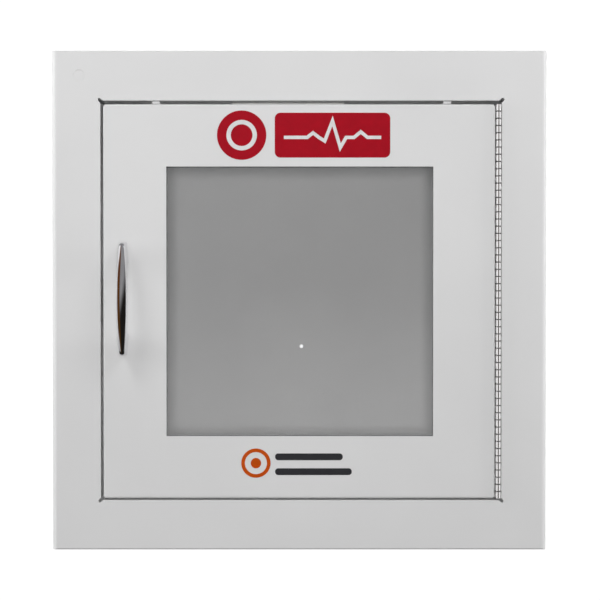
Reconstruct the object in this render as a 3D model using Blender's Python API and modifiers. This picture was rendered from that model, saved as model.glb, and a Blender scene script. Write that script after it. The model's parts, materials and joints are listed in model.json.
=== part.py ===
"""AED wall cabinet: a folded steel box with a flat trim, a hinged door with a clear window, a bow
handle, a magnetic catch and a door-open alarm. Metres. +X right, +Y into the wall, +Z up. The origin is
the centre of the back panel's outer face, on the wall."""

from math import acos, atan, cos, pi, radians, sin, sqrt

import bmesh
import bpy
from mathutils import Matrix, Vector

# Driving dimensions
WIDTH = 0.438
HEIGHT = 0.442
DEPTH = 0.178
SHEET = 0.0012
GAP = 0.0003
FACE = -DEPTH

LEFT_STILE = 0.0429
BOTTOM_RAIL = 0.0440
OPENING_WIDTH = 0.3552
OPENING_HEIGHT = 0.3540
JAMB_DEPTH = 0.030
FOLD = 0.012
BEND = 0.0041
EDGE_CHAMFER = 0.0010
CORNER_NOTCH = 0.0024

DOOR_GAP_LEFT = 0.0023
DOOR_GAP_TOP = 0.0032
DOOR_GAP_BOTTOM = 0.0016
HINGE_SPACE = 0.0055
DOOR_DEPTH = 0.014
DOOR_BEND = 0.0016
DOOR_CORNER_RELIEF = 0.0018

WINDOW = (-0.1178, 0.1186, -0.1202, 0.1187)
PANE_THICKNESS = 0.003
GASKET_THICKNESS = 0.001
GASKET_LIP = 0.0008
PANE_MARGIN = 0.010
CHANNEL_SHEET = 0.001
CHANNEL_LIP = 0.006
CHANNEL_FOOT = 0.010
STUD_INSET = 0.030
STUD_LENGTH = 0.0057
STUD_RADIUS = 0.0015
STUD_CLEARANCE = 0.0018
NUT_RADIUS = 0.00318
NUT_HEIGHT = 0.0024

KNUCKLE = 0.00635
KNUCKLES = 55
BARREL_RADIUS = 0.0024
LEAF_SHEET = 0.001
LEAF_DEPTH = 0.0125
PIN_RADIUS = 0.0012

HANDLE_X = -0.1546
HANDLE_Z = 0.0017
HANDLE_LENGTH = 0.101
HANDLE_RISE = 0.028
HANDLE_LEAN = 0.0010
HANDLE_SAG = 0.0030
HANDLE_CORNER = 0.0038
HANDLE_INNER_LENGTH = 0.061
HANDLE_INNER_RISE = 0.0195
HANDLE_INNER_POWER = 2.4
HANDLE_WIDTH = 0.0086
HANDLE_END_WIDTH = 0.0040
HANDLE_SCREW_SPACING = 0.078
HANDLE_SCREW_REACH = 0.009

KNOCKOUT = (-0.1947, 0.1989)
KNOCKOUT_RADIUS = 0.0054
SLOT_LENGTH = 0.0050
SLOT_WIDTH = 0.0029

MOUNT_SPACING = 0.3048
MOUNT_HOLE_RADIUS = 0.0035
SERVICE_HOLE = (0.002, -0.048)
SERVICE_HOLE_RADIUS = 0.0018

LABEL_THICKNESS = 0.0002
UPPER_LABEL = (-0.0738, 0.0808, 0.1240, 0.1688)
LOWER_LABEL = (-0.0525, 0.0475, -0.1612, -0.1270)

CATCH_HEIGHT = 0.040
CATCH_WIDTH = 0.0145
CATCH_DEPTH = 0.013
CATCH_SETBACK = 0.0007
CATCH_REAR_WALL = 0.0025
POCKET_HALF_WIDTH = 0.0048
POLE_HALF_HEIGHT = 0.0110
POLE_INNER = 0.0028
POLE_OUTER = 0.0044
MAGNET_HALF_WIDTH = 0.0025
CATCH_SCREW_OFFSET = 0.0158
STRIKE_HALF_HEIGHT = 0.016
STRIKE_REACH = 0.0125
STRIKE_SHEET = 0.001
RIVET_OFFSET = 0.010

STOP_HALF_WIDTH = 0.0035
STOP_DROP = 0.009
STOP_SHEET = 0.001
STOP_LIP_DROP = 0.0024
STOP_LIP_SETBACK = 0.0016
BUMPER_ROOM = 0.0024
BUMPER_RADIUS = 0.0032
BUMPER_DROP = 0.0045

ALARM_X = -0.010
ALARM_WIDTH = 0.100
ALARM_DEPTH = 0.040
ALARM_FRONT = FACE + 0.0155
ALARM_DROP = 0.0370
ALARM_WALL = 0.0018
ALARM_PLATE = 0.002
ALARM_POST_INSET = 0.0065
ALARM_POST_BACK = 0.0070
ALARM_SCREW_INSET = 0.012
ALARM_SCREW_DEPTH = 0.0225
PLUNGER_RADIUS = 0.0020
PLUNGER_TRAVEL_ROOM = 0.0115
ROCKER_TILT = radians(10)
ROCKER_DEPTH = 0.0085

# Derived dimensions
OPENING_LEFT = -WIDTH / 2 + LEFT_STILE
OPENING_RIGHT = OPENING_LEFT + OPENING_WIDTH
OPENING_LOW = -HEIGHT / 2 + BOTTOM_RAIL
OPENING_HIGH = OPENING_LOW + OPENING_HEIGHT
DOOR_LEFT = OPENING_LEFT + DOOR_GAP_LEFT
DOOR_RIGHT = OPENING_RIGHT - HINGE_SPACE
DOOR_LOW = OPENING_LOW + DOOR_GAP_BOTTOM
DOOR_HIGH = OPENING_HIGH - DOOR_GAP_TOP
DOOR_REAR = FACE + DOOR_DEPTH
DOOR_BACK = FACE + SHEET
HINGE_X = (DOOR_RIGHT + OPENING_RIGHT) / 2
HINGE_Z = (DOOR_LOW + DOOR_HIGH) / 2
HINGE_LENGTH = KNUCKLES * KNUCKLE
HINGE_AXIS = Vector((HINGE_X, FACE, 0))
PANE_FRONT = DOOR_BACK + 2 * GAP + GASKET_THICKNESS
PANE_REAR = PANE_FRONT + PANE_THICKNESS
ALARM_TOP = OPENING_HIGH - GAP
ALARM_LOW = OPENING_HIGH - ALARM_DROP
ALARM_LEFT = ALARM_X - ALARM_WIDTH / 2
ALARM_RIGHT = ALARM_X + ALARM_WIDTH / 2
ALARM_REAR = ALARM_FRONT + ALARM_DEPTH
PLUNGER_CENTRE = (ALARM_X + 0.030, OPENING_HIGH - 0.0155)
ROCKER_CENTRE = (ALARM_X - 0.015, OPENING_HIGH - 0.0195)
SIREN_CENTRE = (ALARM_X + 0.024, ALARM_FRONT + 0.0262)


# Scene, materials and helpers


def clear_scene():
    for thing in list(bpy.data.objects):
        bpy.data.objects.remove(thing)


def new_collection(name):
    group = bpy.data.collections.new(name)
    bpy.context.scene.collection.children.link(group)
    return group


def material(name, colour, roughness, metallic=0.0, transmission=0.0):
    made = bpy.data.materials.new(name)
    made.use_nodes = True
    shader = made.node_tree.nodes["Principled BSDF"]
    shader.inputs["Base Color"].default_value = (*colour, 1)
    shader.inputs["Roughness"].default_value = roughness
    shader.inputs["Metallic"].default_value = metallic
    shader.inputs["Transmission Weight"].default_value = transmission
    return made


clear_scene()
parts = new_collection("aed_wall_cabinet")
cutters = new_collection("cutters")

WHITE_PAINT = material("white_powder_coat", (0.76, 0.76, 0.77), 0.42)
NICKEL = material("nickel_hinge", (0.66, 0.65, 0.63), 0.28, 1.0)
CHROME = material("chrome", (0.72, 0.71, 0.70), 0.06, 1.0)
ZINC = material("zinc_fastener", (0.58, 0.58, 0.57), 0.36, 1.0)
ACRYLIC = material("clear_acrylic", (0.94, 0.95, 0.95), 0.04, 0.0, 1.0)
GREY_FOAM = material("grey_foam", (0.16, 0.16, 0.17), 0.85)
WHITE_PLASTIC = material("white_plastic", (0.72, 0.72, 0.70), 0.45)
BLACK_PLASTIC = material("black_plastic", (0.025, 0.025, 0.027), 0.45)
CLEAR_RUBBER = material("clear_rubber", (0.75, 0.76, 0.76), 0.5)
MAGNET = material("ferrite_magnet", (0.05, 0.05, 0.055), 0.7)
BOARD_GREEN = material("board_green", (0.02, 0.13, 0.05), 0.5)
BATTERY_WRAP = material("battery_wrap", (0.05, 0.06, 0.08), 0.4)
RED_FILM = material("red_film", (0.38, 0.002, 0.013), 0.35)
ORANGE_FILM = material("orange_film", (0.58, 0.082, 0.002), 0.35)


def add_object(name, mesh, location, paint, group=None):
    piece = bpy.data.objects.new(name, mesh)
    piece.location = location
    (group or parts).objects.link(piece)
    if paint:
        mesh.materials.append(paint)
    if group is cutters:
        piece.hide_render = True
        piece.display_type = "WIRE"
    return piece


def mesh_from(shape, name):
    mesh = bpy.data.meshes.new(name)
    shape.to_mesh(mesh)
    shape.free()
    return mesh


def box(name, low, high, paint=None, group=None):
    low, high = Vector(low), Vector(high)
    shape = bmesh.new()
    bmesh.ops.create_cube(shape, size=1)
    bmesh.ops.scale(shape, vec=high - low, verts=shape.verts)
    return add_object(name, mesh_from(shape, name), (low + high) / 2, paint, group)


def turn_for(axis):
    return {
        "X": Matrix.Rotation(pi / 2, 4, "Y"),
        "Y": Matrix.Rotation(pi / 2, 4, "X"),
        "Z": Matrix.Identity(4),
    }[axis]


def rod(name, centre, radius, length, axis, paint=None, group=None, sides=16):
    shape = bmesh.new()
    bmesh.ops.create_cone(
        shape, cap_ends=True, segments=sides, radius1=radius, radius2=radius, depth=length, matrix=turn_for(axis)
    )
    mesh = mesh_from(shape, name)
    if sides > 8:
        mesh.shade_smooth()
        mesh.set_sharp_from_angle(angle=radians(40))
    return add_object(name, mesh, centre, paint, group)


def outline_solid(name, loops, length, turn, location, paint=None, group=None):
    """A flat outline with its holes, extruded to length along the outline's own normal."""
    curve = bpy.data.curves.new(name, "CURVE")
    curve.dimensions = "2D"
    curve.fill_mode = "BOTH"
    curve.extrude = length / 2
    for loop in loops:
        spline = curve.splines.new("POLY")
        spline.points.add(len(loop) - 1)
        spline.use_cyclic_u = True
        for point, (u, v) in zip(spline.points, loop):
            point.co = (u, v, 0, 1)
    source = bpy.data.objects.new(f"{name}_outline", curve)
    parts.objects.link(source)
    mesh = bpy.data.meshes.new_from_object(source.evaluated_get(bpy.context.evaluated_depsgraph_get()))
    bpy.data.objects.remove(source)
    shape = bmesh.new()
    shape.from_mesh(mesh)
    bmesh.ops.remove_doubles(shape, verts=shape.verts, dist=0.00001)
    bmesh.ops.transform(shape, matrix=turn, verts=shape.verts)
    shape.to_mesh(mesh)
    shape.free()
    mesh.materials.clear()
    return add_object(name, mesh, location, paint, group)


def boolean(piece, tool, operation="DIFFERENCE"):
    modifier = piece.modifiers.new(f"{operation.lower()}_{tool.name}", "BOOLEAN")
    modifier.operation = operation
    modifier.solver = "EXACT"
    modifier.object = tool


def solidify(piece, thickness, offset):
    modifier = piece.modifiers.new("sheet", "SOLIDIFY")
    modifier.thickness = thickness
    modifier.offset = offset
    modifier.use_even_offset = True


def pan(name, low, high, paint, open_side, radius=0.0):
    """A folded tray: a box with one side open (+1: at +Y, -1: at -Y), its folds rounded."""
    low, high = Vector(low), Vector(high)
    shape = bmesh.new()
    bmesh.ops.create_cube(shape, size=1)
    bmesh.ops.scale(shape, vec=high - low, verts=shape.verts)
    open_faces = [face for face in shape.faces if face.normal.y * open_side > 0.5]
    bmesh.ops.delete(shape, geom=open_faces, context="FACES_ONLY")
    if radius:
        closed = [face for face in shape.faces if abs(face.normal.y) > 0.5]
        bmesh.ops.bevel(
            shape, geom=list(closed[0].edges), offset=radius, segments=3, profile=0.5, affect="EDGES"
        )
    piece = add_object(name, mesh_from(shape, name), (low + high) / 2, paint)
    solidify(piece, SHEET, -1)
    return piece


def folded_strip(name, path, plane, start, end, thickness, side, paint):
    """A sheet folded along path and run from start to end. plane is the path's plane, XY or YZ or XZ."""
    place = {
        "XY": lambda u, v, w: (u, v, w),
        "YZ": lambda u, v, w: (w, u, v),
        "XZ": lambda u, v, w: (u, w, v),
    }[plane]
    shape = bmesh.new()
    near = [shape.verts.new(place(u, v, start)) for u, v in path]
    edges = [shape.edges.new(pair) for pair in zip(near, near[1:])]
    grown = bmesh.ops.extrude_edge_only(shape, edges=edges)["geom"]
    far = [item for item in grown if isinstance(item, bmesh.types.BMVert)]
    step = Vector(place(0, 0, end)) - Vector(place(0, 0, start))
    bmesh.ops.translate(shape, vec=step, verts=far)
    piece = add_object(name, mesh_from(shape, name), (0, 0, 0), paint)
    solidify(piece, thickness, side)
    return piece


def arc(centre, radius, start, end, steps):
    turns = [start + (end - start) * step / steps for step in range(steps + 1)]
    return [(centre[0] + radius * cos(turn), centre[1] + radius * sin(turn)) for turn in turns]


def empty(name, location, rotation=(0, 0, 0)):
    pivot = bpy.data.objects.new(name, None)
    pivot.location = location
    pivot.rotation_euler = rotation
    parts.objects.link(pivot)
    return pivot


def attach(pieces, pivot):
    for piece in pieces:
        piece.parent = pivot
        piece.location = Vector(piece.location) - pivot.location


# Cabinet body


def make_front_frame():
    """Trim face and both side walls in one folded sheet, with the opening's jambs welded in."""
    half = WIDTH / 2
    path = [(-half, 0)]
    path += arc((-half + BEND, FACE + BEND), BEND, pi, 3 * pi / 2, 5)
    path += arc((half - BEND, FACE + BEND), BEND, 3 * pi / 2, 2 * pi, 5)
    path += [(half, 0)]
    frame = folded_strip("front_frame", path, "XY", -HEIGHT / 2, HEIGHT / 2, SHEET, 1, WHITE_PAINT)
    jamb = box(
        "jamb_block",
        (OPENING_LEFT - SHEET, FACE + SHEET / 2, OPENING_LOW - SHEET),
        (OPENING_RIGHT + SHEET, FACE + JAMB_DEPTH, OPENING_HIGH + SHEET),
        group=cutters,
    )
    opening = box(
        "opening_cutter",
        (OPENING_LEFT, FACE - 0.01, OPENING_LOW),
        (OPENING_RIGHT, FACE + JAMB_DEPTH + 0.01, OPENING_HIGH),
        group=cutters,
    )
    boolean(frame, jamb, "UNION")
    boolean(frame, opening)
    for name, x, z, turn in (
        ("slot_lower_left", OPENING_LEFT, OPENING_LOW, pi / 4),
        ("slot_lower_right", OPENING_RIGHT, OPENING_LOW, -pi / 4),
        ("slot_upper_left", OPENING_LEFT, OPENING_HIGH, -pi / 4),
        ("slot_upper_right", OPENING_RIGHT, OPENING_HIGH, pi / 4),
    ):
        boolean(frame, relief_slot(name, x, z, turn))
    knockout = rod(
        "knockout_cutter",
        (KNOCKOUT[0], FACE, KNOCKOUT[1]),
        KNOCKOUT_RADIUS,
        0.01,
        "Y",
        group=cutters,
        sides=24,
    )
    boolean(frame, knockout)
    side = EDGE_CHAMFER * sqrt(2)
    for name, sign in (("upper", 1), ("lower", -1)):
        chamfer = box(f"edge_{name}", (-WIDTH, -side / 2, -side / 2), (WIDTH, side / 2, side / 2), group=cutters)
        chamfer.location = (0, FACE, sign * HEIGHT / 2)
        chamfer.rotation_euler.x = pi / 4
        boolean(frame, chamfer)
    return frame


def relief_slot(name, x, z, turn):
    """A round-ended slot at a corner of the opening, along its diagonal, that parts the jambs behind it."""
    radius = SLOT_WIDTH / 2
    reach = SLOT_LENGTH / 2 - radius
    outline = arc((reach, 0), radius, -pi / 2, pi / 2, 4) + arc((-reach, 0), radius, pi / 2, 3 * pi / 2, 4)
    spin = Matrix.Rotation(-turn, 4, "Y") @ Matrix.Rotation(pi / 2, 4, "X")
    return outline_solid(name, [outline], 2 * JAMB_DEPTH + 0.002, spin, (x, FACE, z), group=cutters)


def make_end_panel(name, sign):
    """Top (sign 1) or bottom (sign -1) panel, with a fold down behind the trim face."""
    outer = sign * HEIGHT / 2
    front = FACE + SHEET + GAP
    path = [(front, outer - sign * FOLD), (front, outer), (0, outer)]
    reach = WIDTH / 2 - SHEET - GAP
    panel = folded_strip(name, path, "YZ", -reach, reach, SHEET, -sign, WHITE_PAINT)
    for side, edge in (("left", -reach), ("right", reach)):
        notch = box(
            f"{name}_notch_{side}",
            (edge - CORNER_NOTCH, front - 0.01, -HEIGHT),
            (edge + CORNER_NOTCH, front + CORNER_NOTCH, HEIGHT),
            group=cutters,
        )
        boolean(panel, notch)
    return panel


def make_back_panel():
    reach_x = WIDTH / 2 - SHEET - GAP
    reach_z = HEIGHT / 2 - SHEET - GAP
    back = pan("back_panel", (-reach_x, -FOLD, -reach_z), (reach_x, 0, reach_z), WHITE_PAINT, -1)
    offset = MOUNT_SPACING / 2
    for name, x, z in (
        ("mount_hole_1", -offset, -offset),
        ("mount_hole_2", offset, -offset),
        ("mount_hole_3", -offset, offset),
        ("mount_hole_4", offset, offset),
    ):
        boolean(back, rod(name, (x, 0, z), MOUNT_HOLE_RADIUS, 0.01, "Y", group=cutters))
    x, z = SERVICE_HOLE
    boolean(back, rod("service_hole", (x, 0, z), SERVICE_HOLE_RADIUS, 0.01, "Y", group=cutters))
    return back


def make_knockout_slug():
    centre = (KNOCKOUT[0], FACE + GAP + SHEET / 2, KNOCKOUT[1])
    return rod("knockout_slug", centre, KNOCKOUT_RADIUS - GAP, SHEET, "Y", WHITE_PAINT, sides=24)


# Continuous hinge


def make_hinge_leaf(name, side, first_knuckle):
    """A leaf (side -1: the door's, +1: the frame's) whose rolled edge is notched into knuckles."""
    inner = acos((BARREL_RADIUS - LEAF_SHEET) / BARREL_RADIUS)
    rolled = arc((0, 0), BARREL_RADIUS, pi, 3 * pi - inner, 11)
    outline = [(-BARREL_RADIUS, LEAF_DEPTH)] + rolled + [(LEAF_SHEET - BARREL_RADIUS, LEAF_DEPTH)]
    bore = arc((0, 0), PIN_RADIUS + GAP, 0, 7 / 4 * pi, 7)
    loops = [[(-side * x, y) for x, y in loop] for loop in (outline, bore)]
    location = (HINGE_X, FACE, HINGE_Z)
    leaf = outline_solid(name, loops, HINGE_LENGTH, Matrix.Identity(4), location, NICKEL)
    notches = bmesh.new()
    width = 2 * BARREL_RADIUS + 0.001
    for index in range(1 - first_knuckle, KNUCKLES, 2):
        centre = (0, 0, (index + 0.5) * KNUCKLE - HINGE_LENGTH / 2)
        cube = bmesh.ops.create_cube(notches, size=1)["verts"]
        bmesh.ops.scale(notches, vec=(width, 2 * (BARREL_RADIUS + GAP), KNUCKLE + GAP), verts=cube)
        bmesh.ops.translate(notches, vec=centre, verts=cube)
    boolean(leaf, add_object(f"{name}_notches", mesh_from(notches, name), location, None, cutters))
    return leaf


def make_hinge_pin():
    centre = (HINGE_X, FACE, HINGE_Z)
    return rod("hinge_pin", centre, PIN_RADIUS, HINGE_LENGTH, "Z", NICKEL, sides=8)


# Door


def make_door_panel():
    low = (DOOR_LEFT, FACE, DOOR_LOW)
    high = (DOOR_RIGHT, DOOR_REAR, DOOR_HIGH)
    door = pan("door_panel", low, high, WHITE_PAINT, 1, DOOR_BEND)
    left, right, bottom, top = WINDOW
    window = box("window_cutter", (left, FACE - 0.01, bottom), (right, FACE + 0.01, top), group=cutters)
    boolean(door, window)
    for name, x, z in (
        ("lower_left", low[0], low[2]),
        ("lower_right", high[0], low[2]),
        ("upper_left", low[0], high[2]),
        ("upper_right", high[0], high[2]),
    ):
        centre = (x, (FACE + DOOR_REAR) / 2, z)
        relief = rod(f"relief_{name}", centre, DOOR_CORNER_RELIEF, 2 * DOOR_DEPTH, "Y", group=cutters, sides=24)
        boolean(door, relief)
    return door


def make_gasket():
    left, right, bottom, top = WINDOW
    front = DOOR_BACK + GAP
    rear = front + GASKET_THICKNESS
    margin = PANE_MARGIN - 0.002
    gasket = box(
        "window_gasket", (left - margin, front, bottom - margin), (right + margin, rear, top + margin), GREY_FOAM
    )
    lip = GASKET_LIP
    hole = box(
        "gasket_cutter",
        (left + lip, front - 0.01, bottom + lip),
        (right - lip, rear + 0.01, top - lip),
        group=cutters,
    )
    boolean(gasket, hole)
    return gasket


def make_pane():
    left, right, bottom, top = WINDOW
    low = (left - PANE_MARGIN, PANE_FRONT, bottom - PANE_MARGIN)
    high = (right + PANE_MARGIN, PANE_REAR, top + PANE_MARGIN)
    return box("window_pane", low, high, ACRYLIC)


def channel_path(edge, outward):
    """A Z section: lip behind the pane, web past its edge, foot on the door. outward is +1 or -1."""
    web = edge + outward * GAP
    lip_face = PANE_REAR + GAP
    foot_face = DOOR_BACK + GAP
    sheet = CHANNEL_SHEET
    return [
        (lip_face, edge - outward * CHANNEL_LIP),
        (lip_face, web),
        (foot_face, web),
        (foot_face, web + outward * (sheet + CHANNEL_FOOT)),
    ]


def make_channel(name, path, plane, start, end, side):
    return folded_strip(name, path, plane, start, end, CHANNEL_SHEET, side, WHITE_PAINT)


def make_channels():
    left, right, bottom, top = WINDOW
    edges = (left - PANE_MARGIN, right + PANE_MARGIN, bottom - PANE_MARGIN, top + PANE_MARGIN)
    ends = CHANNEL_LIP + CHANNEL_SHEET + GAP
    made = []
    for name, edge, outward in (("left", edges[0], -1), ("right", edges[1], 1)):
        path = [(u, v) for v, u in channel_path(edge, outward)]
        made.append(
            make_channel(f"window_channel_{name}", path, "XY", edges[2], edges[3], outward)
        )
    for name, edge, outward in (("bottom", edges[2], -1), ("top", edges[3], 1)):
        path = channel_path(edge, outward)
        made.append(
            make_channel(
                f"window_channel_{name}", path, "YZ", edges[0] + ends, edges[1] - ends, -outward
            )
        )
    return made


def make_channel_fasteners(top_channel):
    """Two weld studs with nuts that hold the removable top channel."""
    made = []
    top = WINDOW[3] + PANE_MARGIN
    z = top + CHANNEL_SHEET + CHANNEL_FOOT / 2 + GAP
    foot_rear = DOOR_BACK + GAP + CHANNEL_SHEET
    for side, x in (("left", WINDOW[0] + STUD_INSET), ("right", WINDOW[1] - STUD_INSET)):
        centre_y = DOOR_BACK + GAP + STUD_LENGTH / 2
        stud = rod(f"channel_stud_{side}", (x, centre_y, z), STUD_RADIUS, STUD_LENGTH, "Y", ZINC, sides=12)
        hole = (x, foot_rear, z)
        boolean(top_channel, rod(f"foot_hole_{side}", hole, STUD_CLEARANCE, 0.006, "Y", group=cutters, sides=12))
        nut_centre = (x, foot_rear + GAP + NUT_HEIGHT / 2, z)
        nut = rod(f"channel_nut_{side}", nut_centre, NUT_RADIUS, NUT_HEIGHT, "Y", ZINC, sides=6)
        bore = rod(f"nut_bore_{side}", nut_centre, STUD_CLEARANCE, 0.006, "Y", group=cutters, sides=12)
        boolean(nut, bore)
        made += [stud, nut]
    return made


def bow_outline(corner_steps, front_steps):
    """Outside of the pull from foot to foot: leaning legs, rounded corners and a slightly bowed front.
    Points are (distance off the door, distance along the door)."""
    centre_z = HANDLE_LENGTH / 2 - HANDLE_LEAN - HANDLE_CORNER
    slope = atan(2 * HANDLE_SAG / centre_z)
    turn = pi / 2 - slope
    centre_off = HANDLE_RISE - HANDLE_SAG - HANDLE_CORNER * sin(turn)
    joint = centre_z + HANDLE_CORNER * cos(turn)
    half = [(0.0, HANDLE_LENGTH / 2)]
    half += [(off, z) for z, off in arc((centre_z, centre_off), HANDLE_CORNER, 0, turn, corner_steps)]
    for step in range(1, front_steps + 1):
        z = joint * (1 - step / front_steps)
        half.append((HANDLE_RISE - HANDLE_SAG * (z / joint) ** 2, z))
    return half + [(off, -z) for off, z in half[-2::-1]]


def arch_outline(steps):
    """Superellipse arch under the pull, from foot to foot."""
    points = []
    for step in range(steps + 1):
        turn = pi * step / steps
        along = abs(cos(turn)) ** (2 / HANDLE_INNER_POWER) * (1 if cos(turn) >= 0 else -1)
        off = HANDLE_INNER_RISE * sin(turn) ** (2 / HANDLE_INNER_POWER) if 0 < step < steps else 0.0
        points.append((off, along * HANDLE_INNER_LENGTH / 2))
    return points


def make_handle():
    """Side outline of the pull, narrowed from the front to a lens that is widest at mid-height."""
    foot = FACE - GAP
    outline = [(-off, z) for off, z in bow_outline(6, 8) + arch_outline(20)[::-1]]
    side_turn = Matrix(((0, 0, 1, 0), (1, 0, 0, 0), (0, 1, 0, 0), (0, 0, 0, 1)))
    location = (HANDLE_X, foot, HANDLE_Z)
    width = 2 * HANDLE_WIDTH
    handle = outline_solid("handle", [outline], width, side_turn, location, CHROME)
    lens = []
    steps = 16
    for side in (1, -1):
        for step in range(steps + 1):
            along = (1 - 2 * step / steps) * side
            half = HANDLE_END_WIDTH / 2 + (HANDLE_WIDTH - HANDLE_END_WIDTH) / 2 * (1 - along**2)
            lens.append((side * half, along * (HANDLE_LENGTH / 2 + GAP)))
    front_turn = Matrix.Rotation(pi / 2, 4, "X")
    trim = outline_solid("handle_lens", [lens], 4 * HANDLE_RISE, front_turn, location, group=cutters)
    boolean(handle, trim, "INTERSECT")
    return handle


def make_handle_screws(door, handle):
    """Screws from inside the door into blind holes in the handle's feet."""
    made = []
    for side, sign in (("upper", 1), ("lower", -1)):
        z = HANDLE_Z + sign * HANDLE_SCREW_SPACING / 2
        centre = (HANDLE_X, FACE, z)
        boolean(door, rod(f"door_hole_{side}", centre, 0.0016, 0.01, "Y", group=cutters, sides=12))
        foot_hole = (HANDLE_X, FACE - GAP, z)
        length = 2 * HANDLE_SCREW_REACH
        boolean(handle, rod(f"foot_bore_{side}", foot_hole, 0.0016, length, "Y", group=cutters, sides=12))
        head_front = DOOR_BACK + GAP
        head_centre = (HANDLE_X, head_front + 0.0011, z)
        screw = rod(f"handle_screw_{side}", head_centre, 0.0035, 0.0022, "Y", ZINC)
        tip = FACE - HANDLE_SCREW_REACH + 2 * GAP
        shank_centre = (HANDLE_X, (tip + head_front + 0.001) / 2, z)
        shank = rod(
            f"handle_shank_{side}", shank_centre, 0.0013, head_front + 0.001 - tip, "Y", group=cutters, sides=12
        )
        boolean(screw, shank, "UNION")
        made.append(screw)
    return made


def make_labels():
    """Two printed films on the door, above and below the window."""
    rear = FACE - GAP
    front = rear - LABEL_THICKNESS
    made = []
    for name, place, paint in (("upper_label", UPPER_LABEL, RED_FILM), ("lower_label", LOWER_LABEL, ORANGE_FILM)):
        left, right, bottom, top = place
        made.append(box(name, (left, front, bottom), (right, rear, top), paint))
    return made


# Magnetic catch and door stops


def make_catch(frame):
    pole_front = DOOR_REAR + GAP
    low_x = OPENING_LEFT + GAP
    high_x = low_x + CATCH_WIDTH
    front = pole_front + CATCH_SETBACK
    rear = front + CATCH_DEPTH
    half = CATCH_HEIGHT / 2
    housing = box("catch_housing", (low_x, front, -half), (high_x, rear, half), WHITE_PLASTIC)
    centre_x = (low_x + high_x) / 2
    pocket_floor = rear - CATCH_REAR_WALL
    pocket_half = POLE_HALF_HEIGHT + 0.0005
    pocket = box(
        "catch_pocket",
        (centre_x - POCKET_HALF_WIDTH, front - 0.01, -pocket_half),
        (centre_x + POCKET_HALF_WIDTH, pocket_floor, pocket_half),
        group=cutters,
    )
    boolean(housing, pocket)
    pieces = [housing]
    for name, near, far, near_y, paint in (
        ("catch_magnet", -MAGNET_HALF_WIDTH, MAGNET_HALF_WIDTH, front + 0.0005, MAGNET),
        ("catch_pole_outer", -POLE_OUTER, -POLE_INNER, pole_front, ZINC),
        ("catch_pole_inner", POLE_INNER, POLE_OUTER, pole_front, ZINC),
    ):
        low = (centre_x + near, near_y, -POLE_HALF_HEIGHT)
        high = (centre_x + far, pocket_floor - GAP, POLE_HALF_HEIGHT)
        pieces.append(box(name, low, high, paint))
    for side, sign in (("upper", 1), ("lower", -1)):
        y = (front + rear) / 2
        z = sign * CATCH_SCREW_OFFSET
        hole_centre = (centre_x, y, z)
        boolean(housing, rod(f"catch_hole_{side}", hole_centre, 0.0017, 0.04, "X", group=cutters, sides=12))
        jamb_centre = (OPENING_LEFT, y, z)
        boolean(frame, rod(f"jamb_hole_{side}", jamb_centre, 0.0017, 0.008, "X", group=cutters, sides=12))
        head_x = high_x + GAP + 0.001
        screw = rod(f"catch_screw_{side}", (head_x, y, z), 0.0030, 0.0020, "X", ZINC)
        tip = OPENING_LEFT - 0.005
        shank_centre = ((tip + head_x) / 2, y, z)
        shank = rod(f"catch_shank_{side}", shank_centre, 0.0014, head_x - tip, "X", group=cutters, sides=12)
        boolean(screw, shank, "UNION")
        pieces.append(screw)
    return pieces


def make_strike_plate():
    """An angle on the door's left flange whose rear leg meets the magnet's pole plates."""
    corner_x = DOOR_LEFT + SHEET + GAP
    path = [(corner_x, FACE + 0.004), (corner_x, DOOR_REAR), (corner_x + STRIKE_REACH, DOOR_REAR)]
    half = STRIKE_HALF_HEIGHT
    plate = folded_strip("strike_plate", path, "XY", -half, half, STRIKE_SHEET, -1, ZINC)
    made = [plate]
    for side, z in (("upper", RIVET_OFFSET), ("lower", -RIVET_OFFSET)):
        y = FACE + 0.008
        head_x = corner_x + STRIKE_SHEET + GAP + 0.0005
        rivet = rod(f"strike_rivet_{side}", (head_x, y, z), 0.0022, 0.0010, "X", ZINC, sides=12)
        hole = (corner_x, y, z)
        boolean(plate, rod(f"rivet_hole_{side}", hole, 0.0014, 0.006, "X", group=cutters, sides=12))
        tip = corner_x - GAP + 0.0001
        shank_centre = ((tip + head_x) / 2, y, z)
        shank = rod(f"rivet_shank_{side}", shank_centre, 0.0011, head_x - tip, "X", group=cutters, sides=12)
        boolean(rivet, shank, "UNION")
        made.append(rivet)
    return made


def make_door_stops():
    """Bent clips on the upper and lower jambs, each with a clear bumper that the door's edge meets."""
    made = []
    for name, x, sign in (
        ("upper_left", -0.127, 1),
        ("upper_right", 0.131, 1),
        ("lower_left", -0.127, -1),
        ("lower_right", 0.130, -1),
    ):
        edge = OPENING_HIGH - GAP if sign > 0 else OPENING_LOW + GAP
        front = DOOR_REAR + BUMPER_ROOM
        if sign > 0:
            lip = FACE + STOP_LIP_SETBACK
            rear = front + STOP_SHEET
            path = [(lip, edge - STOP_LIP_DROP), (lip, edge), (rear, edge), (rear, edge - STOP_DROP)]
        else:
            path = [(front, edge + STOP_DROP), (front, edge), (FACE + JAMB_DEPTH, edge)]
        low, high = x - STOP_HALF_WIDTH, x + STOP_HALF_WIDTH
        tab = folded_strip(f"door_stop_{name}", path, "YZ", low, high, STOP_SHEET, -sign, WHITE_PAINT)
        length = front - DOOR_REAR - 2 * GAP
        centre = (x, DOOR_REAR + GAP + length / 2, edge - sign * BUMPER_DROP)
        made += [tab, rod(f"door_bumper_{name}", centre, BUMPER_RADIUS, length, "Y", CLEAR_RUBBER)]
    return made


# Door-open alarm


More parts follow.
